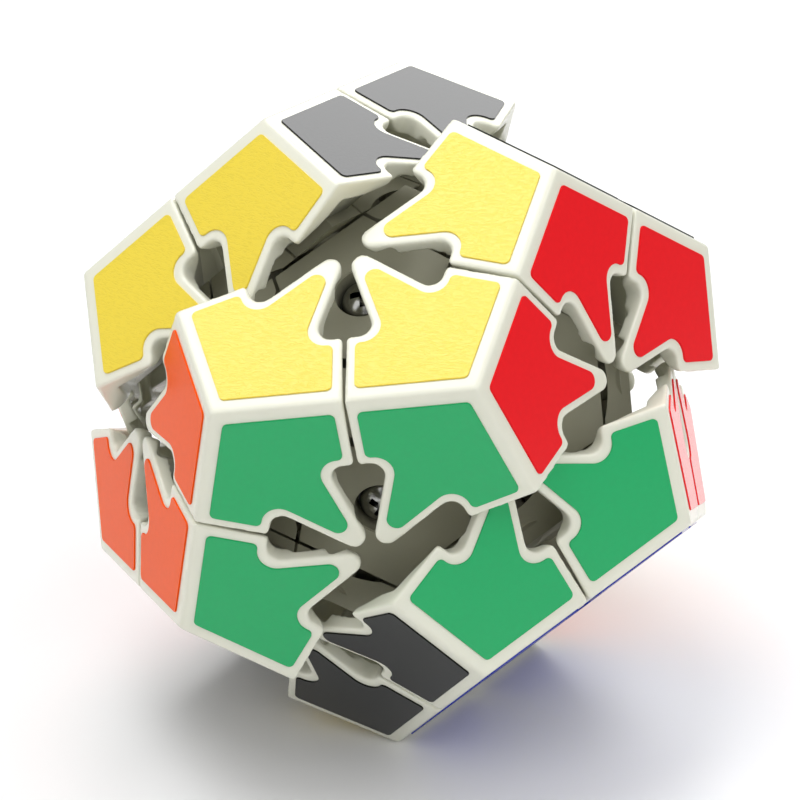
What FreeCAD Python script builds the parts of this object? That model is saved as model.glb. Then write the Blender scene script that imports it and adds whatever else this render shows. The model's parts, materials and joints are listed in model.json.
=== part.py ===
import FreeCAD, Part
import math
import os
import Sketcher

# Two-layer twisty dodecahedron: twenty stickered corner shells on a screwed and sprung core.
#
# Every piece is drawn in the puzzle's own axes: the core's centre is the origin and +Z runs along
# the axis of the north face. The finished pieces are then tipped together, so that the puzzle
# rests on three points with its north axis 45 degrees off the vertical.

Vec = FreeCAD.Vector
ORIGIN = Vec(0, 0, 0)
UP = Vec(0, 0, 1)
FAR = 60.0                                # beyond every piece

doc = FreeCAD.newDocument("twisty_dodecahedron")

# ------------------------------------------------------------------------------------ sizes
SIZES = [
    ("edge_length", 31.0),                # edge of the dodecahedron
    ("north_turn", -31.0),                # how far the north layer is turned at rest, degrees
    ("south_turn", 36.0),                 # how far the south layer is turned at rest, degrees
    ("rest_lean", 45.0),                  # north axis from the vertical at rest, degrees
    ("rest_azimuth", 216.0),              # side of the puzzle that lies downwards at rest
    ("seam_gap", 0.22),                   # between neighbouring corner shells
    ("layer_shift", 0.15),                # each side of a layer cut draws back by this
    ("wall", 2.0),                        # outer wall of the hollow corner shells
    ("floor_wall", 1.6),                  # their floors towards the inside
    ("side_wall", 2.8),                   # their walls towards the other layers
    ("skirt_depth", 2.6),                 # rims and points are this thick where they overhang
    ("skirt_height", 21.0),               # plane along a face axis under which they overhang
    # petal windows, measured on a face from its centre
    ("tip_distance", 1.9),                # centre to the rounded point of a shell
    ("spike_half_angle", 18.0),           # half of the angle of that point, degrees
    ("spike_extra", 0.37),                # how far the point is wider than a radial wedge
    ("window_reach", 12.55),              # centre to the outer end of a petal
    ("shoulder_radius", 1.55),
    ("mouth_radius", 0.62),
    # where the layers part, from the centre along a face axis
    ("cut_height", 19.5),                 # plane under a layer's shells and inner pieces
    ("tip_cut_height", 16.15),            # lowest that a layer's points reach
    ("track_radius", 28.0),               # inner side of the track that the points run in
    ("foot_cut_height", 14.0),            # plane between the feet
    ("cut_gap", 0.3),                     # across both planes
    # hub plates
    ("plate_top", 24.8),
    ("plate_thickness", 2.6),
    ("plate_apothem", 9.25),
    ("plate_bottom_apothem", 7.3),
    ("hub_tube_radius", 4.3),
    ("hub_bore_radius", 3.35),
    ("hub_floor", 15.2),                  # where the spring sits
    ("hub_bottom", 13.4),
    ("hub_hole_radius", 1.65),
    # feet and stalks of the inner pieces
    ("foot_outer_radius", 21.7),
    ("foot_inner_radius", 15.8),
    ("corner_stalk_start", 19.6),
    ("edge_stalk_start", 18.3),
    ("corner_stalk_radius", 2.2),
    ("edge_stalk_radius", 2.4),
    ("corner_stalk_end", 26.6),
    ("edge_stalk_end", 28.2),
    ("edge_block_radius", 27.0),
    ("inner_clearance", 0.2),             # shells to the inner pieces
    ("plug_clearance", 0.35),
    ("plug_top", 29.5),
    # core
    ("core_radius", 8.6),
    ("arm_radius", 3.9),
    ("arm_length", 13.0),
    ("core_bore_radius", 1.35),
    # screws, washers and springs
    ("shank_radius", 1.3),
    ("screw_point", 6.0),
    ("head_radius", 2.85),
    ("head_height", 1.9),
    ("head_rim", 0.6),
    ("head_seat", 22.6),
    ("recess_half_width", 0.4),
    ("recess_half_span", 1.6),
    ("recess_depth", 1.15),
    ("washer_radius", 3.0),
    ("washer_thickness", 0.4),
    ("spring_radius", 2.25),
    ("spring_wire_radius", 0.3),
    ("spring_turns", 6.0),
    ("spring_end_gap", 0.1),
    # stickers
    ("sticker_thickness", 0.2),
    ("sticker_seam_margin", 1.3),
    ("sticker_edge_margin", 1.6),
    ("sticker_window_margin", 1.05),
    ("sticker_tip_radius", 1.15),
    ("sticker_shoulder_radius", 2.2),
    ("sticker_corner_radius", 0.7),
]

sheet = doc.addObject("Spreadsheet::Sheet", "sizes")
for row, (alias, value) in enumerate(SIZES, start=1):
    sheet.set("A%d" % row, alias)
    sheet.set("B%d" % row, str(value))
    sheet.setAlias("B%d" % row, alias)
doc.recompute()


def size(alias):
    return float(sheet.get(alias))


# ------------------------------------------------------------------ the dodecahedron's axes
EDGE = size("edge_length")
INRADIUS = EDGE * math.sqrt(250 + 110 * math.sqrt(5)) / 20
FACE_APOTHEM = EDGE / (2 * math.tan(math.radians(36)))
FACE_RADIUS = EDGE / (2 * math.sin(math.radians(36)))
FACE_TILT = math.degrees(math.atan(2))    # between two neighbouring face axes
CAP_POLAR = math.degrees(math.atan2(FACE_RADIUS, INRADIUS))
BELT_POLAR = math.degrees(math.acos(math.cos(math.radians(CAP_POLAR)) * (math.sqrt(5) - 2)))


def direction(azimuth, polar):
    a, p = math.radians(azimuth), math.radians(polar)
    return Vec(math.sin(p) * math.cos(a), math.sin(p) * math.sin(a), math.cos(p))


FACES = {"north": direction(0, 0), "south": direction(0, 180)}
for k in range(5):
    FACES["upper_%d" % (k + 1)] = direction(72 * k, FACE_TILT)
    FACES["lower_%d" % (k + 1)] = direction(36 + 72 * k, 180 - FACE_TILT)

CORNERS = {}
for k in range(5):
    CORNERS["north_corner_%d" % (k + 1)] = direction(36 + 72 * k, CAP_POLAR)
    CORNERS["upper_corner_%d" % (k + 1)] = direction(36 + 72 * k, BELT_POLAR)
    CORNERS["lower_corner_%d" % (k + 1)] = direction(72 * k, 180 - BELT_POLAR)
    CORNERS["south_corner_%d" % (k + 1)] = direction(72 * k, 180 - CAP_POLAR)

COLOURS = {
    "blue": ("north", "south"),
    "yellow": ("upper_1", "lower_3"),
    "black": ("upper_2", "lower_4"),
    "green": ("lower_5", "upper_3"),
    "red": ("lower_1", "upper_4"),
    "orange": ("upper_5", "lower_2"),
}
COLOUR_OF = {face: colour for colour, pair in COLOURS.items() for face in pair}
LAYERS = {"north": "north_turn", "middle": None, "south": "south_turn"}


def faces_round(point):
    """Face names, nearest to the given direction first."""
    return sorted(FACES, key=lambda name: -FACES[name].dot(point))


def layer_of(own_faces):
    for layer in ("north", "south"):
        if layer in own_faces:
            return layer
    return "middle"


def rest_placement():
    """Turns the puzzle's own axes into the upright frame in which it rests."""
    side = direction(size("rest_azimuth"), 90)
    lean = math.radians(size("rest_lean"))
    up = UP * math.cos(lean) - side * math.sin(lean)
    ahead = UP * math.sin(lean) + side * math.cos(lean)
    right = ahead.cross(up)
    turn = FreeCAD.Rotation(FreeCAD.Matrix(
        right.x, right.y, right.z, 0,
        ahead.x, ahead.y, ahead.z, 0,
        up.x, up.y, up.z, 0,
        0, 0, 0, 1))
    return FreeCAD.Placement(ORIGIN, turn)


REST = rest_placement()


def layer_placement(layer):
    """A layer's turn about the north axis, then the rest placement."""
    angle = size(LAYERS[layer]) if LAYERS[layer] else 0.0
    return REST.multiply(FreeCAD.Placement(ORIGIN, FreeCAD.Rotation(UP, angle)))


def frame_placement(axis, towards):
    """Puts +Z on an axis through the centre and +X on the side of the second direction."""
    return FreeCAD.Placement(ORIGIN, FreeCAD.Rotation(towards, Vec(), axis, "ZXY"))


# ---------------------------------------------------------------------------- solid helpers
def solid_between(planes):
    """The convex solid inside (outward normal, distance) planes, all round the space kept."""
    reach = 3 * FAR
    solid = Part.makeBox(2 * reach, 2 * reach, 2 * reach, Vec(-reach, -reach, -reach))
    for normal, distance in planes:
        half = Part.makeBox(4 * reach, 4 * reach, 4 * reach, Vec(-2 * reach, -2 * reach, 0))
        turn = FreeCAD.Rotation(UP, normal)
        half.Placement = FreeCAD.Placement(normal * distance, turn)
        solid = solid.cut(half)
    return solid.Solids[0]


def dodecahedron(inradius):
    return solid_between([(axis, inradius) for axis in FACES.values()])


def ball(radius):
    return Part.makeSphere(radius)


def rod(axis, radius, start, end):
    return Part.makeCylinder(radius, end - start, axis * start, axis)


def moved(shape, placement):
    copy = shape.copy()
    copy.Placement = placement.multiply(copy.Placement)
    return copy


def rounded_wire(corners):
    """A closed wire through (corner, fillet radius) pairs, straight between its fillets."""
    count = len(corners)
    trimmed = []
    for i, (corner, radius) in enumerate(corners):
        back = (corners[i - 1][0] - corner).normalize()
        ahead = (corners[(i + 1) % count][0] - corner).normalize()
        half = back.getAngle(ahead) / 2
        trim = radius / math.tan(half)
        crown = corner + (back + ahead).normalize() * (radius / math.sin(half) - radius)
        trimmed.append((corner + back * trim, crown, corner + ahead * trim, radius))
    edges = []
    for i, (start, crown, end, radius) in enumerate(trimmed):
        if radius > 0:
            edges.append(Part.Arc(start, crown, end).toShape())
        edges.append(Part.LineSegment(end, trimmed[(i + 1) % count][0]).toShape())
    return Part.Wire(edges)


# ----------------------------------------------------------------------- outline on a face
def seam_point(reach, inwards):
    """A point beside the seam: +X is the shell's own axis, the seam lies at 36 degrees."""
    turn = math.radians(36)
    return Vec(reach * math.cos(turn) + inwards * math.sin(turn),
               reach * math.sin(turn) - inwards * math.cos(turn), 0)


def point_side(window_margin):
    """The straight side of a shell's point: where it crosses +X, and its way outwards."""
    slope = math.radians(size("spike_half_angle"))
    crossing = (window_margin - size("spike_extra")) / math.sin(slope)
    return Vec(crossing, 0, 0), Vec(math.cos(slope), math.sin(slope), 0)


def window_corner(window_margin):
    """Where the point's side meets the end of the petal, which is square to the seam."""
    crossing, along = point_side(window_margin)
    seam_way = seam_point(1, 0)
    reach = size("window_reach") + window_margin
    return crossing + along * ((reach - crossing.dot(seam_way)) / along.dot(seam_way))


def mirrored(half):
    """The whole outline from its upper half, which starts on +X at the face's centre."""
    other = [(Vec(corner.x, -corner.y, 0), radius) for corner, radius in half
             if abs(corner.y) > 1e-6]
    return half + other[::-1]


def shell_outline():
    """A shell's outline on one face, left open outwards so that it also cuts the sides."""
    slope = math.sin(math.radians(size("spike_half_angle")))
    extra = size("spike_extra")
    centre = (size("tip_distance") + extra) / (1 - slope)
    tip_radius = centre * slope + extra
    half_gap = size("seam_gap") / 2
    half = [(point_side(0)[0], tip_radius),
            (window_corner(0), size("shoulder_radius")),
            (seam_point(size("window_reach"), half_gap), size("mouth_radius")),
            (seam_point(FAR, half_gap), 0)]
    return rounded_wire(mirrored(half))


def sticker_outline():
    seam = size("sticker_seam_margin")
    window = size("sticker_window_margin")
    rounding = size("sticker_corner_radius")
    edge_line = FACE_APOTHEM - size("sticker_edge_margin")
    vertex = edge_line / math.cos(math.radians(36))
    half = [(point_side(window)[0], size("sticker_tip_radius")),
            (window_corner(window), size("sticker_shoulder_radius")),
            (seam_point(size("window_reach") + window, seam), rounding),
            (seam_point(edge_line, seam), rounding),
            (Vec(vertex, 0, 0), rounding)]
    return rounded_wire(mirrored(half))


def face_prism(wire, start, end):
    """An outline on a face, carried from one distance to another along the face's axis."""
    face = Part.Face(wire)
    face.translate(UP * start)
    return face.extrude(UP * (end - start))


# ------------------------------------------------------------------------- layer clearance
SEAM_START = FACES["upper_1"] * INRADIUS
SEAM_END = (CORNERS["north_corner_1"] + CORNERS["upper_corner_1"]).normalize() \
    * (EDGE * (3 + math.sqrt(5)) / 4)


def seam_height(part):
    return SEAM_START.z + (SEAM_END.z - SEAM_START.z) * part


FLARE_TOP = 1.1                           # the surface's arcs reach past the edge, in seam lengths
FLARE_END = 1.9                           # and go on straight to here


def flare_point(height, shift):
    """The turned seam line sweeps this surface round the layer's axis (local +Z)."""
    part = (height - SEAM_START.z) / (SEAM_END.z - SEAM_START.z)
    point = SEAM_START + (SEAM_END - SEAM_START) * part
    return Vec(math.hypot(point.x, point.y), 0, height + shift)


def layer_zone(inside, shift):
    """Space that a layer's shells sweep: their own, drawn in, or as the others see it."""
    tip_cut = size("tip_cut_height")
    cut = size("cut_height")
    half_gap = size("cut_gap") / 2
    low = tip_cut + half_gap if inside else tip_cut - half_gap
    top = seam_height(FLARE_TOP)
    heights = [low - shift + (top - low + shift) * k / 4 for k in range(5)]
    flare = [flare_point(height, shift) for height in heights]
    beyond = flare_point(seam_height(FLARE_END), shift)
    if inside:
        track = size("track_radius")
        start = [Vec(0, 0, cut + half_gap), Vec(track, 0, cut + half_gap), Vec(track, 0, low)]
    else:
        start = [Vec(0, 0, low)]
    end = [beyond, Vec(beyond.x, 0, FAR), Vec(0, 0, FAR)]
    edges = [Part.LineSegment(a, b).toShape() for a, b in zip(start, start[1:] + flare[:1])]
    edges += [Part.Arc(*flare[k:k + 3]).toShape() for k in (0, 2)]
    edges += [Part.LineSegment(a, b).toShape()
              for a, b in zip(flare[-1:] + end, end + start[:1])]
    return Part.Face(Part.Wire(edges)).revolve(ORIGIN, UP, 360)


# ---------------------------------------------------------------------- corner master shapes
MASTER = CORNERS["north_corner_1"]
OWN = faces_round(MASTER)[:3]
OTHERS = faces_round(MASTER)[3:6]
NEIGHBOURS = sorted(CORNERS.values(), key=lambda axis: -axis.dot(MASTER))[1:4]


def seam_planes(margin):
    return [((axis - MASTER).normalize(), -margin) for axis in NEIGHBOURS]


def placed(face):
    """Stands a shape drawn about +Z on one of the master corner's faces."""
    return frame_placement(FACES[face], MASTER)


def corner_shell():
    shift = size("layer_shift")
    own_zone = layer_zone(True, shift)
    other_zone = layer_zone(False, -shift)
    deep_zone = layer_zone(False, -shift - size("side_wall"))
    prism = face_prism(shell_outline(), 0, FAR)

    shell = solid_between([(FACES[face], INRADIUS) for face in OWN]
                          + [(-FACES[face], 0) for face in OWN] + seam_planes(-size("wall")))
    floor = size("skirt_height") + size("floor_wall")
    hollow = solid_between([(FACES[face], INRADIUS - size("wall")) for face in OWN]
                           + [(-FACES[face], -floor) for face in OWN]
                           + seam_planes(size("seam_gap") / 2 + size("wall")))
    for face in OWN:
        shell = shell.common(moved(own_zone, placed(face)))
    for face in OTHERS:
        shell = shell.cut(moved(other_zone, placed(face)))
        hollow = hollow.cut(moved(deep_zone, placed(face)))
    body = solid_between([(-FACES[face], -size("skirt_height")) for face in OWN]
                         + [(FACES[face], FAR) for face in OWN])
    shell = shell.cut(dodecahedron(INRADIUS - size("skirt_depth")).cut(body))
    shell = shell.cut(dodecahedron(size("plate_top") + size("inner_clearance")))
    for face in OWN:
        shell = shell.common(moved(prism, placed(face)))
    return shell.cut(hollow).Solids[0]


def foot_solid(own, others):
    """A piece of the ball joint under the hub plates, inside its own layers only."""
    half_gap = size("cut_gap") / 2
    cut = size("foot_cut_height")
    planes = [(-FACES[face], -cut - half_gap) for face in own]
    planes += [(FACES[face], cut - half_gap) for face in others]
    block = solid_between(planes)
    return block.common(ball(size("foot_outer_radius"))).cut(ball(size("foot_inner_radius")))


def inner_block(own, others):
    """A piece of the smaller dodecahedron that carries the shells."""
    half_gap = size("cut_gap") / 2
    cut = size("cut_height")
    planes = [(axis, size("plate_top")) for axis in FACES.values()]
    planes += [(-FACES[face], -cut - half_gap) for face in own]
    planes += [(FACES[face], cut - half_gap) for face in others]
    return solid_between(planes)


def corner_foot():
    clearance = size("plug_clearance")
    floor = size("skirt_height") + size("floor_wall") + clearance
    planes = [(FACES[face], size("plug_top")) for face in OWN]
    planes += [(-FACES[face], -floor) for face in OWN]
    plug = solid_between(planes + seam_planes(size("seam_gap") / 2 + size("wall") + clearance))
    lowered = -size("layer_shift") - size("side_wall") - 2 * clearance
    deeper = layer_zone(False, lowered)
    for face in OTHERS:
        plug = plug.cut(moved(deeper, placed(face)))
    stalk = rod(MASTER, size("corner_stalk_radius"), size("corner_stalk_start"), size("corner_stalk_end"))
    foot = foot_solid(OWN, [])
    return foot.fuse([stalk, inner_block(OWN, []), plug]).removeSplitter().Solids[0]


EDGE_AXIS = (FACES["north"] + FACES["upper_1"]).normalize()
EDGE_OWN = faces_round(EDGE_AXIS)[:2]
EDGE_OTHERS = faces_round(EDGE_AXIS)[2:4]


def inner_edge():
    block = inner_block(EDGE_OWN, EDGE_OTHERS).cut(ball(size("edge_block_radius")))
    stalk = rod(EDGE_AXIS, size("edge_stalk_radius"), size("edge_stalk_start"), size("edge_stalk_end"))
    return foot_solid(EDGE_OWN, EDGE_OTHERS).fuse([stalk, block]).removeSplitter().Solids[0]


def sticker():
    return moved(face_prism(sticker_outline(), INRADIUS, INRADIUS + size("sticker_thickness")),
                 placed(OWN[0]))


# ------------------------------------------------------------- hub pieces, drawn about +Z
def amount(formula):
    """The value of a sum of sheet aliases, such as "head_seat + head_height"."""
    total, sign = 0.0, 1
    for word in formula.split():
        if word in ("+", "-"):
            sign = 1 if word == "+" else -1
        elif word != "0":
            total += sign * size(word)
            sign = 1
    return total


def bound(formula):
    return " ".join(word if word in ("+", "-") else "sizes." + word for word in formula.split())


def plane_of(body, role):
    return next(item for item in body.Origin.OriginFeatures if item.Role == role)


def new_sketch(body, name, role, height=None):
    sketch = body.newObject("Sketcher::SketchObject", name)
    sketch.AttachmentSupport = [(plane_of(body, role), "")]
    sketch.MapMode = "FlatFace"
    if height:
        sketch.setExpression(".AttachmentOffset.Base.z", bound(height))
    return sketch


def pin_down(sketch, curve, end, across, along):
    """Ties a point to the sketch's origin by its two distances, bound to the sheet."""
    for kind, formula, axis in (("DistanceX", across, -2), ("DistanceY", along, -1)):
        value = amount(formula)
        if abs(value) < 1e-9:
            sketch.addConstraint(Sketcher.Constraint("PointOnObject", curve, end, axis))
            continue
        first, second = ((-1, 1), (curve, end)) if value > 0 else ((curve, end), (-1, 1))
        index = sketch.addConstraint(Sketcher.Constraint(kind, *first, *second, abs(value)))
        text = bound(formula)
        sketch.setExpression("Constraints[%d]" % index, text if value > 0 else "-(%s)" % text)


def draw_polygon(sketch, corners):
    """A closed run of lines through (across, along) formulas, every corner bound."""
    points = [Vec(amount(across), amount(along), 0) for across, along in corners]
    lines = [sketch.addGeometry(Part.LineSegment(points[i - 1], points[i]), False)
             for i in range(len(points))]
    for i, line in enumerate(lines):
        pin_down(sketch, line, 2, *corners[i])
        sketch.addConstraint(Sketcher.Constraint("Coincident", lines[i - 1], 2, line, 1))


def draw_circle(sketch, radius):
    circle = sketch.addGeometry(Part.Circle(ORIGIN, UP, size(radius)), False)
    sketch.addConstraint(Sketcher.Constraint("Coincident", circle, 3, -1, 1))
    index = sketch.addConstraint(Sketcher.Constraint("Radius", circle, size(radius)))
    sketch.setExpression("Constraints[%d]" % index, bound(radius))


def draw_pentagon(sketch, apothem):
    """A regular pentagon with one corner on +X; its inscribed circle carries the size."""
    radius = size(apothem) / math.cos(math.radians(36))
    points = [direction(72 * k, 90) * radius for k in range(5)]
    lines = [sketch.addGeometry(Part.LineSegment(points[k - 1], points[k]), False)
             for k in range(5)]
    rim = sketch.addGeometry(Part.Circle(ORIGIN, UP, size(apothem)), True)
    sketch.addConstraint(Sketcher.Constraint("Coincident", rim, 3, -1, 1))
    for k, line in enumerate(lines):
        sketch.addConstraint(Sketcher.Constraint("Coincident", lines[k - 1], 2, line, 1))
        sketch.addConstraint(Sketcher.Constraint("Tangent", line, rim))
        if k:
            sketch.addConstraint(Sketcher.Constraint("Equal", lines[0], line))
    sketch.addConstraint(Sketcher.Constraint("PointOnObject", lines[0], 2, -1))
    index = sketch.addConstraint(Sketcher.Constraint("Radius", rim, size(apothem)))
    sketch.setExpression("Constraints[%d]" % index, bound(apothem))


def ring_pad(body, name, radius, bottom, top, cut=False):
    """A round boss or hole about +Z between two heights."""
    sketch = new_sketch(body, name + "_circle", "XY_Plane", top if cut else bottom)
    draw_circle(sketch, radius)
    feature = body.newObject("PartDesign::Pocket" if cut else "PartDesign::Pad", name)
    feature.Profile = sketch
    feature.setExpression("Length", "%s - (%s)" % (bound(top), bound(bottom)))
    doc.recompute()
    return feature


def hub_plate_body():
    body = doc.addObject("PartDesign::Body", "hub_plate_pattern")
    upper = new_sketch(body, "plate_top_outline", "XY_Plane", "plate_top")
    draw_pentagon(upper, "plate_apothem")
    lower = new_sketch(body, "plate_bottom_outline", "XY_Plane", "plate_top - plate_thickness")
    draw_pentagon(lower, "plate_bottom_apothem")
    plate = body.newObject("PartDesign::AdditiveLoft", "plate")
    plate.Profile = upper
    plate.Sections = [lower]
    plate.Ruled = True
    doc.recompute()
    ring_pad(body, "tube", "hub_tube_radius", "hub_bottom", "plate_top - plate_thickness")
    ring_pad(body, "spring_well", "hub_bore_radius", "hub_floor", "plate_top", cut=True)
    ring_pad(body, "screw_hole", "hub_hole_radius", "hub_bottom", "hub_floor", cut=True)
    return body


def screw_body():
    body = doc.addObject("PartDesign::Body", "screw_pattern")
    profile = new_sketch(body, "screw_profile", "XZ_Plane")
    outline = [("0", "screw_point"), ("shank_radius", "screw_point + shank_radius"),
               ("shank_radius", "head_seat"), ("head_radius", "head_seat"),
               ("head_radius", "head_seat + head_rim"), ("0", "head_seat + head_height")]
    points = [Vec(amount(across), amount(along), 0) for across, along in outline]
    curves = [profile.addGeometry(Part.LineSegment(points[i], points[i + 1]), False)
              for i in range(4)]
    rise = size("head_height") - size("head_rim")
    dome = (size("head_radius") ** 2 + rise ** 2) / (2 * rise)
    centre = Vec(0, points[5].y - dome, 0)
    crown = centre + (points[4] - centre + Vec(0, dome, 0)).normalize() * dome
    curves.append(profile.addGeometry(Part.Arc(points[4], crown, points[5]), False))
    curves.append(profile.addGeometry(Part.LineSegment(points[5], points[0]), False))
    for i in range(4):
        pin_down(profile, curves[i], 1, *outline[i])
    pin_down(profile, curves[3], 2, *outline[4])
    pin_down(profile, curves[5], 1, *outline[5])
    for i in range(3):
        profile.addConstraint(Sketcher.Constraint("Coincident", curves[i], 2, curves[i + 1], 1))
    profile.addConstraint(Sketcher.Constraint("Coincident", curves[5], 2, curves[0], 1))
    profile.addConstraint(Sketcher.Constraint("Coincident", curves[4], 1, curves[3], 2))
    profile.addConstraint(Sketcher.Constraint("Coincident", curves[4], 2, curves[5], 1))
    profile.addConstraint(Sketcher.Constraint("PointOnObject", curves[4], 3, -2))
    turned = body.newObject("PartDesign::Revolution", "turned_screw")
    turned.Profile = profile
    turned.ReferenceAxis = (profile, ["V_Axis"])
    turned.Angle = 360
    doc.recompute()
    recess = new_sketch(body, "recess_cross", "XY_Plane", "head_seat + head_height")
    arm, half = "recess_half_span", "recess_half_width"
    quarter = [(arm, half), (half, half), (half, arm)]
    cross = quarter + [("- " + half, arm), ("- " + half, half), ("- " + arm, half)]
    cross += [("- " + arm, "- " + half), ("- " + half, "- " + half), ("- " + half, "- " + arm)]
    cross += [(half, "- " + arm), (half, "- " + half), (arm, "- " + half)]
    draw_polygon(recess, cross)
    pocket = body.newObject("PartDesign::Pocket", "recess")
    pocket.Profile = recess
    pocket.setExpression("Length", bound("recess_depth"))
    doc.recompute()
    return body


def washer_body():
    body = doc.addObject("PartDesign::Body", "washer_pattern")
    ring_pad(body, "disc", "washer_radius", "head_seat - washer_thickness", "head_seat")
    ring_pad(body, "washer_hole", "hub_hole_radius", "head_seat - washer_thickness",
             "head_seat", cut=True)
    return body


def spring():
    """A compression spring on +Z between the well's floor and the washer."""
    wire_radius = size("spring_wire_radius")
    bottom = size("hub_floor") + size("spring_end_gap") + wire_radius
    top = size("head_seat") - size("washer_thickness") - size("spring_end_gap") - wire_radius
    radius = size("spring_radius")
    helix = Part.makeHelix((top - bottom) / size("spring_turns"), top - bottom, radius)
    section = Part.Wire(Part.makeCircle(wire_radius, Vec(radius, 0, 0), Vec(0, 1, 0)))
    coil = Part.Wire(helix).makePipeShell([section], True, True)
    coil.translate(UP * bottom)
    return coil


def core_object():
    """A ball with twelve arms, bored for the screws."""
    ball_part = doc.addObject("Part::Sphere", "core_ball")
    ball_part.setExpression("Radius", bound("core_radius"))
    arms, bores = [ball_part], []
    for name, axis in FACES.items():
        arm = doc.addObject("Part::Cylinder", "core_arm_" + name)
        arm.setExpression("Radius", bound("arm_radius"))
        arm.setExpression("Height", bound("arm_length"))
        arms.append(arm)
        bore = doc.addObject("Part::Cylinder", "core_bore_" + name)
        bore.setExpression("Radius", bound("core_bore_radius"))
        bore.setExpression("Height", bound("arm_length"))
        bores.append(bore)
        turn = FreeCAD.Rotation(UP, axis)
        arm.Placement = FreeCAD.Placement(ORIGIN, turn)
        bore.Placement = FreeCAD.Placement(axis * size("screw_point"), turn)
    spider = doc.addObject("Part::MultiFuse", "core_spider")
    spider.Shapes = arms
    drills = doc.addObject("Part::MultiFuse", "core_drills")
    drills.Shapes = bores
    core = doc.addObject("Part::Cut", "core")
    core.Base = spider
    core.Tool = drills
    return core


# -------------------------------------------------------------------------------- assembly
def to_corner(vertex, face):
    """Carries the master corner to another vertex, its first face onto the face given."""
    return frame_placement(vertex, FACES[face]).multiply(
        frame_placement(MASTER, FACES[OWN[0]]).inverse())


def to_edge(axis, face):
    return frame_placement(axis, FACES[face]).multiply(
        frame_placement(EDGE_AXIS, FACES[EDGE_OWN[0]]).inverse())


def edge_axes():
    """The thirty edges: their axes and the two faces that meet there."""
    names = list(FACES)
    near = math.cos(math.radians(FACE_TILT + 1))
    pairs = [(a, b) for i, a in enumerate(names) for b in names[i + 1:]
             if FACES[a].dot(FACES[b]) > near]
    return [((FACES[a] + FACES[b]).normalize(), (a, b)) for a, b in pairs]


core = core_object()
plate_pattern = hub_plate_body()
screw_pattern = screw_body()
washer_pattern = washer_body()
doc.recompute()
shell_shape, foot_shape, edge_shape = corner_shell(), corner_foot(), inner_edge()
sticker_shape, spring_shape = sticker(), spring()

single, groups = [], {}


def add_to_group(name, layer, shape):
    groups.setdefault((name, layer), []).append(shape)


for name, vertex in CORNERS.items():
    own = faces_round(vertex)[:3]
    layer = layer_of(own)
    place = to_corner(vertex, own[0])
    single.append((name, layer, moved(shell_shape, place)))
    add_to_group("corner_feet_" + layer, layer, moved(foot_shape, place))
    for face in own:
        group = "stickers_%s_%s" % (COLOUR_OF[face], layer)
        add_to_group(group, layer, moved(sticker_shape, to_corner(vertex, face)))

for axis, own in edge_axes():
    layer = layer_of(own)
    add_to_group("inner_edges_" + layer, layer, moved(edge_shape, to_edge(axis, own[0])))

for face, axis in FACES.items():
    vertex = next(corner for corner in CORNERS.values() if face in faces_round(corner)[:3])
    place = frame_placement(axis, vertex)
    layer = layer_of((face,))
    single.append((face + "_hub_plate", layer, moved(plate_pattern.Shape, place)))
    add_to_group("hub_screws", "middle", moved(screw_pattern.Shape, place))
    add_to_group("hub_washers", "middle", moved(washer_pattern.Shape, place))
    add_to_group("hub_springs", "middle", moved(spring_shape, place))

pieces = single + [(name, layer, Part.makeCompound(shapes))
                   for (name, layer), shapes in groups.items()]
sub_parts = [core]
core.Placement = layer_placement("middle")
for name, layer, shape in pieces:
    piece = doc.addObject("Part::Feature", name)
    piece.Label = name
    piece.Shape = shape
    piece.Placement = layer_placement(layer).multiply(piece.Placement)
    sub_parts.append(piece)
doc.recompute()

for item in doc.Objects:
    if "Invalid" in item.State or "Error" in item.State:
        raise RuntimeError("%s failed: %s" % (item.Label, item.State))
for piece in sub_parts:
    if piece.Shape.isNull() or not piece.Shape.isValid() or not piece.Shape.Solids:
        raise RuntimeError("%s has no valid solid" % piece.Label)

os.makedirs("parts", exist_ok=True)
for piece in sub_parts:
    piece.Shape.exportStep("parts/%s.step" % piece.Label)
print("%d parts, %d solids" % (len(sub_parts), sum(len(p.Shape.Solids) for p in sub_parts)))
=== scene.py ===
"""Looks of the two-layer twisty dodecahedron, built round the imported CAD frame.

The CAD's corner shells have sharp edges; here each one is replaced by a moulded one with rounded
edges, made once and copied to its twenty places. The hub plates and the inner edges get slightly
broken edges, and the stickers get soft borders and a map for their grain. Lengths are in metres,
in the frame's own axes: the core's centre is the origin.
"""
import bmesh
import bpy
import json
import math
from mathutils import Matrix, Vector


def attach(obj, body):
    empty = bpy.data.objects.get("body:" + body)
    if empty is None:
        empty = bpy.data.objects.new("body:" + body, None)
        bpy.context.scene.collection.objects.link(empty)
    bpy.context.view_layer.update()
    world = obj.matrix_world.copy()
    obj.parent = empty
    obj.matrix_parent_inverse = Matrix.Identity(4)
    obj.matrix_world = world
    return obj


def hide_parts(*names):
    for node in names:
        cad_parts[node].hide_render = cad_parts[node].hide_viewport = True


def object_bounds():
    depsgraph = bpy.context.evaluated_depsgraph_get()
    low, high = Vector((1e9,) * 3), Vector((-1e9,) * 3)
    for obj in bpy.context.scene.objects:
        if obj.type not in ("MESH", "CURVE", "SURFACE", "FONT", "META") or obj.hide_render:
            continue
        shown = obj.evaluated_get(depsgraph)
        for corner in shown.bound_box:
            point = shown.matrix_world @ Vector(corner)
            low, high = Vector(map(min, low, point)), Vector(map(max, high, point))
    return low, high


MM = 0.001

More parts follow.
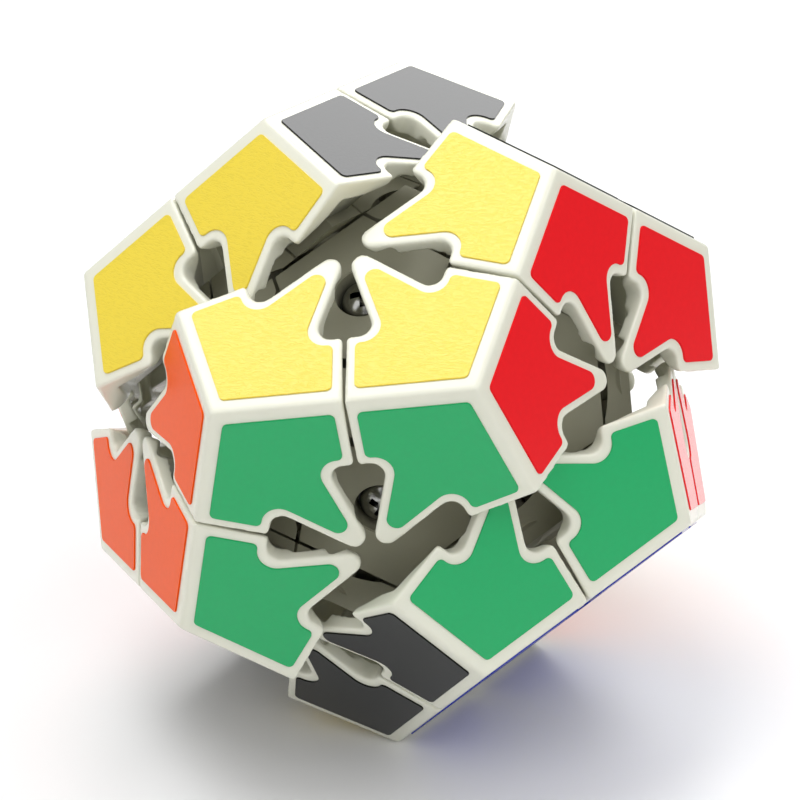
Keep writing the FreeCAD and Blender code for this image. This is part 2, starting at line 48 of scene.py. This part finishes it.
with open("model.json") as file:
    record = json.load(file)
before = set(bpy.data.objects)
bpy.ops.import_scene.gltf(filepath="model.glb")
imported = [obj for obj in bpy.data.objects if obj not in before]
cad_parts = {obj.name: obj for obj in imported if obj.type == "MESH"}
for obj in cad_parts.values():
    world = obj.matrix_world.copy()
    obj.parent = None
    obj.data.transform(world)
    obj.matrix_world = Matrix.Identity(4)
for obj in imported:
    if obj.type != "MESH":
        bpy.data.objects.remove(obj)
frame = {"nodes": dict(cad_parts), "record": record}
cad_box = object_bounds()
scene = bpy.context.scene
BODY_OF = {node: body for body, nodes in frame["record"]["behaviour"]["bodies"].items()
           for node in nodes}
SLOT_OF = {part["node"]: part["material_slot"] for part in frame["record"]["subparts"]}

# ------------------------------------------------------------------------------- camera
CAMERA_AZIMUTH = math.radians(-52.7)
CAMERA_ELEVATION = math.radians(24.8)
CAMERA_ROLL = math.radians(2.2)
CAMERA_DISTANCE = 0.386
CAMERA_LENS = 137.3                       # on Blender's 36 mm wide sensor


def add_camera():
    camera = bpy.data.objects.new("camera", bpy.data.cameras.new("camera"))
    scene.collection.objects.link(camera)
    camera.data.lens = CAMERA_LENS
    flat = math.cos(CAMERA_ELEVATION)
    ahead = Vector((-math.sin(CAMERA_AZIMUTH) * flat, math.cos(CAMERA_AZIMUTH) * flat,
                    -math.sin(CAMERA_ELEVATION)))
    look = ahead.to_track_quat("-Z", "Y").to_matrix().to_4x4()
    roll = Matrix.Rotation(-CAMERA_ROLL, 4, "Z")
    camera.matrix_world = Matrix.Translation(-ahead * CAMERA_DISTANCE) @ look @ roll
    scene.camera = camera


add_camera()

# ------------------------------------------------------------------- floor, light and world
FLOOR_Z = cad_box[0][2]
FLOOR_SIZE = 6.0
FLOOR_COLOUR = (0.86, 0.86, 0.86, 1)
FLOOR_ROUGHNESS = 0.35
FLOOR_GLOSS = 0.2
LIGHT_DISTANCE = 0.7
WORLD_STRENGTH = 0.24


class Surface:
    """A material in the making: a Principled shader and short ways to feed it."""

    def __init__(self, name):
        self.material = bpy.data.materials.new(name)
        self.material.use_nodes = True
        self.tree = self.material.node_tree
        self.shader = self.tree.nodes["Principled BSDF"]

    def feed(self, node, values):
        """Sets a node's inputs: another node's output is linked, anything else is a constant."""
        for name, value in values.items():
            if isinstance(value, bpy.types.NodeSocket):
                self.tree.links.new(value, node.inputs[name])
            else:
                node.inputs[name].default_value = value

    def finish(self, **values):
        """Sets the shader's own inputs, with _ for the spaces in their names."""
        names = {name.replace(" ", "_"): name for name in self.shader.inputs.keys()}
        self.feed(self.shader, {names[key]: value for key, value in values.items()})

    def add(self, kind, values, **settings):
        node = self.tree.nodes.new(kind)
        for key, value in settings.items():
            setattr(node, key, value)
        self.feed(node, values)
        return node

    def place(self, kind):
        return self.add("ShaderNodeTexCoord", {}).outputs[kind]

    def noise(self, place, **values):
        return self.add("ShaderNodeTexNoise", {"Vector": place, **values}).outputs["Fac"]

    def blend(self, first, second, share):
        values = {"A": first, "B": second, "Factor": share}
        return self.add("ShaderNodeMix", values, data_type="RGBA").outputs["Result"]

    def ramp(self, value, before, after, kind="LINEAR"):
        """A value carried over from one range to another, and held at its ends."""
        values = {"Value": value, "From Min": before[0], "From Max": before[1],
                  "To Min": after[0], "To Max": after[1]}
        return self.add("ShaderNodeMapRange", values, interpolation_type=kind).outputs["Result"]

    def scaled(self, colour, share):
        values = {0: colour, "Scale": share}
        return self.add("ShaderNodeVectorMath", values, operation="SCALE").outputs["Vector"]

    def bump(self, height, strength, depth):
        values = {"Height": height, "Strength": strength, "Distance": depth}
        return self.add("ShaderNodeBump", values).outputs["Normal"]


def add_floor():
    mesh = bpy.data.meshes.new("floor")
    half = FLOOR_SIZE / 2
    mesh.from_pydata([(-half, -half, FLOOR_Z), (half, -half, FLOOR_Z),
                      (half, half, FLOOR_Z), (-half, half, FLOOR_Z)], [], [(0, 1, 2, 3)])
    floor = bpy.data.objects.new("floor", mesh)
    scene.collection.objects.link(floor)
    plain = Surface("floor")
    plain.finish(Base_Color=FLOOR_COLOUR, Roughness=FLOOR_ROUGHNESS,
                 Specular_IOR_Level=FLOOR_GLOSS)
    mesh.materials.append(plain.material)


def add_softbox(name, azimuth, elevation, width, radiance):
    """A square area light that faces the puzzle; azimuth is the side that it stands on."""
    light = bpy.data.objects.new(name, bpy.data.lights.new(name, "AREA"))
    scene.collection.objects.link(light)
    turn, rise = math.radians(azimuth), math.radians(elevation)
    away = Vector((math.cos(rise) * math.cos(turn), math.cos(rise) * math.sin(turn),
                   math.sin(rise)))
    light.location = away * LIGHT_DISTANCE
    light.rotation_euler = (-away).to_track_quat("-Z", "Y").to_euler()
    light.data.size = width
    light.data.energy = radiance * math.pi * width ** 2


def add_world():
    world = bpy.data.worlds.new("studio")
    scene.world = world
    world.use_nodes = True
    background = world.node_tree.nodes["Background"]
    background.inputs["Color"].default_value = (1.0, 1.0, 1.0, 1)
    background.inputs["Strength"].default_value = WORLD_STRENGTH


add_floor()
add_world()
add_softbox("top", azimuth=96, elevation=74, width=0.42, radiance=5.2)
add_softbox("back", azimuth=16, elevation=34, width=0.46, radiance=3.45)
add_softbox("front", azimuth=-95, elevation=45, width=0.90, radiance=1.26)
add_softbox("left", azimuth=165, elevation=40, width=0.80, radiance=0.84)
scene.view_settings.view_transform = "Standard"

# ------------------------------------------------------------------------ reading the CAD
WELD = 0.001 * MM                         # CAD faces come unjoined; their corners coincide
FLATNESS = 0.05 * MM
SAME_WAY = 0.9                            # cosine between the normals of one outer face
SHELLS = sorted(name for name in frame["nodes"] if "_corner_" in name)


def welded_mesh(node):
    """A bmesh copy of a CAD node with its faces joined along their edges."""
    mesh = bmesh.new()
    mesh.from_mesh(frame["nodes"][node].data)
    bmesh.ops.remove_doubles(mesh, verts=mesh.verts, dist=WELD)
    return mesh


def add_piece(name, mesh, node):
    """A visible object that stands for one CAD node and moves with its body."""
    piece = bpy.data.objects.new(name, mesh)
    scene.collection.objects.link(piece)
    mesh.materials.clear()
    mesh.materials.append(MATERIALS[SLOT_OF[node]])
    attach(piece, BODY_OF[node])
    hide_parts(node)


def outer_normals(node):
    """The outward normals of a corner shell's three faces, in order round the corner."""
    faces = sorted(frame["nodes"][node].data.polygons, key=lambda face: -face.center.length)
    reach = max(face.normal.dot(face.center) for face in faces)
    found = []
    for face in sorted(faces, key=lambda face: -face.area):
        flat = abs(face.normal.dot(face.center) - reach) < FLATNESS
        if flat and all(face.normal.dot(other) < SAME_WAY for other in found):
            found.append(face.normal.copy())
    first, second, third = found[:3]
    if first.cross(second).dot(third) < 0:
        second, third = third, second
    return first, second, third


def corner_frame(normals):
    """Axes of a corner as a matrix: out along its diagonal, and towards its first face."""
    axis = sum(normals, Vector()).normalized()
    ahead = (normals[0] - axis * normals[0].dot(axis)).normalized()
    return Matrix((ahead, axis.cross(ahead), axis)).transposed()


# ---------------------------------------------------------------------------- materials
IVORY = (0.80, 0.80, 0.68, 1)
SHADED_INNER_IVORY = (0.46, 0.45, 0.34, 1)             # the ivory of the pieces inside, darkened as painted shade
OUTER_REACH = 34.3 * MM                   # from the centre: just under the faces
INNER_REACH = 29.0 * MM                   # and where the inside's dullness and painted shade are complete
INNER_MATTNESS = 0.3                      # added to the roughness of the walls inside
PLASTIC_IOR = 1.5
GLOW_DEPTH = (1.2 * MM, 1.1 * MM, 0.8 * MM)    # how far light wanders under the plastic's skin
GLOW_SHARE = 0.08
HOLLOW_SHADE_REACH = 1.2 * MM                   # how narrow a hollow has to be to get painted shade
DRIFT_SCALE = 60.0                        # noise cells to a metre: tone and gloss
GRAIN_SCALE = 900.0                       # the mould's texture
MARKS_SCALE = 1500.0                      # handling marks on metal
MOTTLE_SCALE = 1.3                        # noise cells to a millimetre of sticker: its print
PEEL_SCALE = 2.2                          # and its uneven surface
CREASE_STRETCH = (1.2, 4.8, 1.0)          # creases to a millimetre, along and across


def darker(colour, share):
    return tuple(part * share for part in colour[:3]) + (1,)


def moulded_plastic(name, colour, roughness, painted_shade_inside=1.0):
    """Glossy moulded plastic: a faint tone drift, uneven gloss and the mould's fine texture.

    Inward-facing walls are duller and get painted shade, down to the given share of the colour.
    """
    surface = Surface(name)
    place = surface.place("Object")
    reach = surface.add("ShaderNodeVectorMath", {0: place}, operation="LENGTH").outputs["Value"]
    depths = (INNER_REACH, OUTER_REACH)
    drift = surface.noise(place, Scale=DRIFT_SCALE, Detail=3.0)
    tone = surface.blend(colour, darker(colour, 0.93), drift)
    # painted shade: the colour darkens towards the centre, where the inside lies in shadow
    shade = surface.ramp(reach, depths, (painted_shade_inside, 1.0), "SMOOTHSTEP")
    gloss = surface.ramp(drift, (0.0, 1.0), (roughness * 0.8, roughness * 1.3))
    matt = surface.ramp(reach, depths, (INNER_MATTNESS, 0.0))
    total = surface.add("ShaderNodeMath", {0: gloss, 1: matt}, operation="ADD").outputs["Value"]
    grain = surface.noise(place, Scale=GRAIN_SCALE, Detail=4.0)
    surface.finish(Base_Color=surface.scaled(tone, shade), Roughness=total,
                   Normal=surface.bump(grain, 0.12, 0.04 * MM), IOR=PLASTIC_IOR,
                   Subsurface_Weight=GLOW_SHARE, Subsurface_Radius=GLOW_DEPTH)
    return surface.material


def vinyl(name, colour, roughness, gloss=0.5):
    """Smooth vinyl: the print's faint mottle and the film's slight orange peel."""
    surface = Surface(name)
    place = surface.place("UV")
    mottle = surface.noise(place, Scale=MOTTLE_SCALE, Detail=5.0)
    peel = surface.noise(place, Scale=PEEL_SCALE, Detail=2.0)
    surface.finish(Base_Color=surface.blend(colour, darker(colour, 0.9), mottle),
                   Roughness=roughness, Specular_IOR_Level=gloss,
                   Normal=surface.bump(peel, 0.10, 0.06 * MM))
    return surface.material


def embossed_vinyl(name, colour, roughness):
    """Vinyl pressed with a leather grain: short wandering creases that run across the face."""
    surface = Surface(name)
    values = {"Vector": surface.place("UV"), "Scale": CREASE_STRETCH}
    place = surface.add("ShaderNodeMapping", values).outputs["Vector"]
    creases = surface.noise(place, Scale=1.0, Detail=3.0, Roughness=0.55, Distortion=0.9)
    height = surface.ramp(creases, (0.34, 0.56), (0.0, 1.0), "SMOOTHSTEP")
    surface.finish(Base_Color=surface.blend(darker(colour, 0.95), colour, height),
                   Roughness=roughness, Normal=surface.bump(height, 0.34, 0.06 * MM))
    return surface.material


def plated_steel(name, colour, roughness):
    """Plated metal: fine handling marks in its gloss, and painted shade darkening its hollows."""
    surface = Surface(name)
    marks = surface.noise(surface.place("Object"), Scale=MARKS_SCALE, Detail=3.0)
    tone = surface.blend(colour, darker(colour, 0.8), marks)
    # painted shade: ambient occlusion darkens the colour in narrow hollows
    openness = surface.add("ShaderNodeAmbientOcclusion", {"Distance": HOLLOW_SHADE_REACH}).outputs["AO"]
    hollow_shade = surface.ramp(openness, (0.35, 0.8), (0.06, 1.0), "SMOOTHSTEP")
    gloss = surface.ramp(marks, (0.0, 1.0), (roughness * 0.7, roughness * 1.6))
    surface.finish(Base_Color=surface.scaled(tone, hollow_shade), Roughness=gloss, Metallic=1.0)
    return surface.material


MATERIALS = {
    # deep inside, the shells' colour is painted down to 0.38 of itself as shade
    "shells": moulded_plastic("ivory_shell", IVORY, 0.22, painted_shade_inside=0.38),
    # the pieces inside take the ivory darkened as painted shade
    "hub_plates": moulded_plastic("ivory_hub", SHADED_INNER_IVORY, 0.30),
    "inner_pieces": moulded_plastic("ivory_inner", SHADED_INNER_IVORY, 0.30),
    "core": moulded_plastic("core_plastic", (0.70, 0.69, 0.62, 1), 0.45),
    "screws": plated_steel("nickel_screw", (0.55, 0.55, 0.53, 1), 0.17),
    "springs": plated_steel("spring_wire", (0.55, 0.55, 0.57, 1), 0.25),
    "washers": plated_steel("washer_steel", (0.62, 0.62, 0.64, 1), 0.28),
    "sticker_blue": vinyl("blue_vinyl", (0.010, 0.030, 0.42, 1), 0.16),
    "sticker_black": vinyl("black_vinyl", (0.004, 0.005, 0.005, 1), 0.16, gloss=0.42),
    "sticker_green": vinyl("green_vinyl", (0.004, 0.42, 0.13, 1), 0.18),
    "sticker_red": vinyl("red_vinyl", (0.87, 0.006, 0.012, 1), 0.20, gloss=0.3),
    "sticker_orange": vinyl("orange_vinyl", (0.95, 0.106, 0.003, 1), 0.22, gloss=0.07),
    "sticker_yellow": embossed_vinyl("yellow_vinyl", (0.84, 0.654, 0.057, 1), 0.28),
}
for name, cad_node in frame["nodes"].items():
    cad_node.data.materials.clear()
    cad_node.data.materials.append(MATERIALS[SLOT_OF[name]])

# --------------------------------------------------------------------------- corner shells
VOXEL = 0.17 * MM
SMOOTHING = 0.5                           # share of the way to the neighbours' mean, each pass
SMOOTH_PASSES = 36                        # rounds the edges to about a millimetre
ROUNDED_DEPTH = 2.3 * MM                  # under a face, where the rounding has faded out
EASING = 1.2 * MM                         # over this much depth
INNER_ROUNDING = 0.3                      # enough to take the grid's steps off the edges
SHELL_FACES = 22000


def with_modifiers(work):
    """A new mesh of an object as its modifiers leave it."""
    bpy.context.view_layer.update()
    evaluated = work.evaluated_get(bpy.context.evaluated_depsgraph_get())
    return bpy.data.meshes.new_from_object(evaluated)


def weigh_outside(work, node):
    """Weights for the rounding: whole near the three faces, little on the walls inside."""
    outside = work.vertex_groups.new(name="outside")
    normals = outer_normals(node)
    face_reach = max(normals[0].dot(vert.co) for vert in work.data.vertices)
    for vert in work.data.vertices:
        depth = face_reach - max(normal.dot(vert.co) for normal in normals)
        share = min(max((ROUNDED_DEPTH - depth) / EASING, 0), 1)
        outside.add([vert.index], INNER_ROUNDING + (1 - INNER_ROUNDING) * share, "REPLACE")


def moulded_shell(node):
    """One corner shell in its place on the puzzle, its outer edges rounded."""
    joined = welded_mesh(node)
    mesh = bpy.data.meshes.new("shell_work")
    joined.to_mesh(mesh)
    joined.free()
    work = bpy.data.objects.new("shell_work", mesh)
    scene.collection.objects.link(work)
    remesh = work.modifiers.new("even_grid", "REMESH")
    remesh.mode = "VOXEL"
    remesh.voxel_size = VOXEL
    even = with_modifiers(work)
    work.modifiers.clear()
    work.data = even
    weigh_outside(work, node)
    smooth = work.modifiers.new("rounding", "SMOOTH")
    smooth.factor = SMOOTHING
    smooth.iterations = SMOOTH_PASSES
    smooth.vertex_group = "outside"
    thin = work.modifiers.new("thinning", "DECIMATE")
    thin.ratio = SHELL_FACES / (2 * len(even.polygons))
    shell = with_modifiers(work)
    bpy.data.objects.remove(work)
    shell.name = "moulded_shell"
    for face in shell.polygons:
        face.use_smooth = True
    return shell


def add_shells():
    """One moulded shell, copied to the places of all twenty."""
    master = SHELLS[0]
    shell = moulded_shell(master)
    home = corner_frame(outer_normals(master)).transposed()
    for node in SHELLS:
        placed = shell.copy()
        placed.transform((corner_frame(outer_normals(node)) @ home).to_4x4())
        add_piece(node + "_shell", placed, node)


add_shells()

# ---------------------------------------------------------------------------- inner pieces
EASE = 0.14 * MM                          # broken edges of the hub plates and inner edges
EASE_STEPS = 2
SMOOTH_RUN = math.radians(0.5)            # faces that turn less than this are one face
SHARP = math.radians(30)                  # edges that turn more than this are broken
EASED = sorted(name for name in frame["nodes"]
               if name.endswith("_hub_plate") or name.startswith("inner_edges_"))


def sharp_edges(mesh, angle):
    return [edge for edge in mesh.edges
            if len(edge.link_faces) == 2 and edge.calc_face_angle(0) > angle]


def add_flat_piece(name, mesh, node):
    """Adds a finished bmesh as a piece, without smooth shading."""
    data = bpy.data.meshes.new(name)
    mesh.to_mesh(data)
    mesh.free()
    for face in data.polygons:
        face.use_smooth = False
    add_piece(name, data, node)


def add_eased(node):
    """A copy of a CAD node with its sharp edges broken, as moulded pieces have them."""
    mesh = welded_mesh(node)
    bmesh.ops.dissolve_limit(mesh, angle_limit=SMOOTH_RUN, verts=mesh.verts, edges=mesh.edges)
    bmesh.ops.bevel(mesh, geom=sharp_edges(mesh, SHARP), offset=EASE, segments=EASE_STEPS,
                    affect="EDGES", clamp_overlap=True)
    bmesh.ops.triangulate(mesh, faces=mesh.faces)
    add_flat_piece(node + "_eased", mesh, node)


for node in EASED:
    add_eased(node)

# -------------------------------------------------------------------------------- stickers
BORDER = 0.06 * MM                        # the soft upper edge of a sticker
BORDER_STEPS = 2
OUTLINE_RUN = math.radians(1)             # sides that turn less than this are one side
OUTLINE = math.radians(60)                # a sticker's outline turns more than this
GRAIN_UNIT = 1.0 * MM                     # one unit of the stickers' own map


def loose_parts(mesh):
    """The separate closed parts of a bmesh, as lists of vertices."""
    seen, parts = set(), []
    for start in mesh.verts:
        if start in seen:
            continue
        part, front = [], [start]
        seen.add(start)
        while front:
            vert = front.pop()
            part.append(vert)
            for edge in vert.link_edges:
                other = edge.other_vert(vert)
                if other not in seen:
                    seen.add(other)
                    front.append(other)
        parts.append(part)
    return parts


def sticker_axes(part):
    """Level and upward directions in the plane of the sticker's face."""
    faces = [face for vert in part for face in vert.link_faces]
    widest = max(faces, key=lambda face: face.calc_area())
    up = widest.normal if widest.normal.dot(widest.calc_center_median()) > 0 else -widest.normal
    level = Vector((-up.y, up.x, 0)).normalized()
    return level, up.cross(level)


def faces_out(edge):
    """Whether an edge borders the upper side of its sticker, rather than the side stuck down."""
    widest = max(edge.link_faces, key=lambda face: face.calc_area())
    return widest.normal.dot(edge.verts[0].co) > 0


def add_stickers(node):
    """The stickers of one CAD node with soft borders and a map in millimetres for their grain."""
    mesh = welded_mesh(node)
    bmesh.ops.dissolve_limit(mesh, angle_limit=OUTLINE_RUN, verts=mesh.verts, edges=mesh.edges)
    rim = [edge for edge in sharp_edges(mesh, OUTLINE) if faces_out(edge)]
    bmesh.ops.bevel(mesh, geom=rim, offset=BORDER, segments=BORDER_STEPS, affect="EDGES",
                    clamp_overlap=True)
    bmesh.ops.triangulate(mesh, faces=[face for face in mesh.faces if len(face.verts) > 4])
    grain = mesh.loops.layers.uv.new("grain")
    for part in loose_parts(mesh):
        level, upward = sticker_axes(part)
        for vert in part:
            for loop in vert.link_loops:
                loop[grain].uv = (vert.co.dot(level) / GRAIN_UNIT,
                                  vert.co.dot(upward) / GRAIN_UNIT)
    add_flat_piece(node + "_film", mesh, node)


for node in sorted(frame["nodes"]):
    if node.startswith("stickers_"):
        add_stickers(node)
